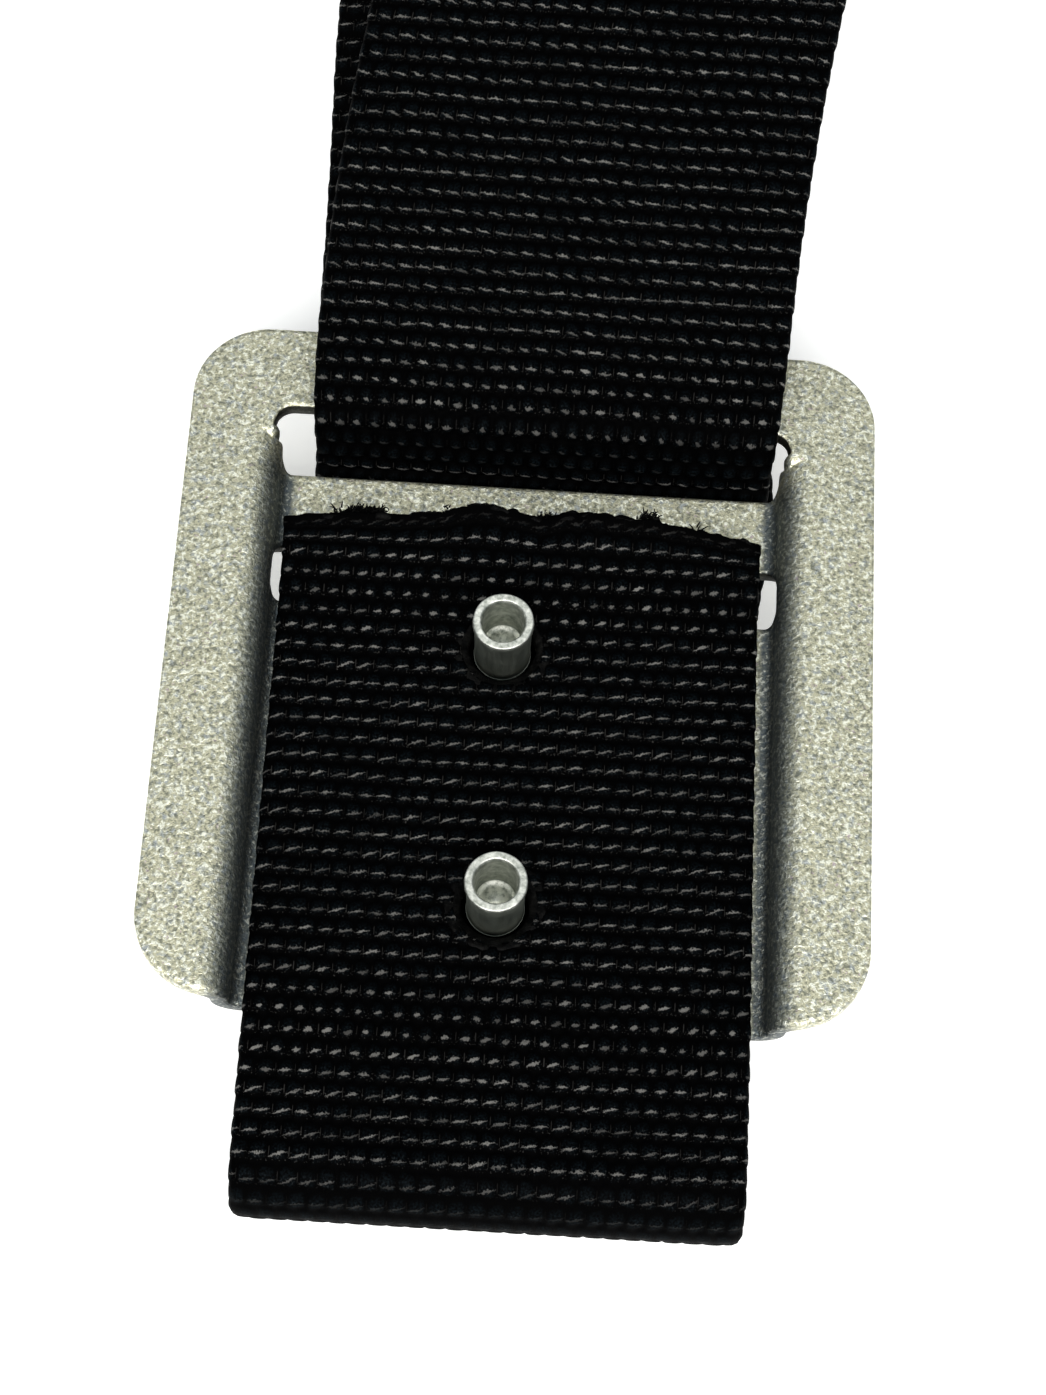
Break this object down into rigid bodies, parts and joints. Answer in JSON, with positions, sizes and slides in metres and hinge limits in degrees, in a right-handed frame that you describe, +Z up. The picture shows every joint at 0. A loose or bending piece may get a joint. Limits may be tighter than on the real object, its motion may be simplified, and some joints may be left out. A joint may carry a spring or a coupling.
{
  "type": "dive weight belt",
  "caption": "Webbing belt with a pressed steel buckle plate; one end is held under two tubular studs and the punched tail hooks over them. Stored folded and rolled.",
  "frame": {"origin": "on the resting face, the flat underside of the belt's return run, below the middle of the buckle plate", "axes": "+X across the belt, +Y along the belt from the buckle towards the roll, +Z up, away from the resting face; the side worn against the body faces +Z"},
  "size_m": [0.0724, 0.2153, 0.055],
  "materials": {
    "plate_steel": "zinc plated over a grainy blasted surface",
    "stud_zinc": "bright zinc",
    "webbing": "heavy woven nylon, slight sheen"
  },
  "bodies": {
    "belt_and_buckle": {"buckle_plate": "plate_steel", "upper_stud": "stud_zinc", "lower_stud": "stud_zinc", "upper_washer": "stud_zinc", "lower_washer": "stud_zinc", "belt_webbing": "webbing"},
    "tail": {"belt_tail": "webbing"}
  },
  "joints": [
    {"name": "tail_lift", "type": "slide", "parent": "belt_and_buckle", "child": "tail", "axis": [0, 0, 1], "range_m": [0, 0.012]}
  ]
}
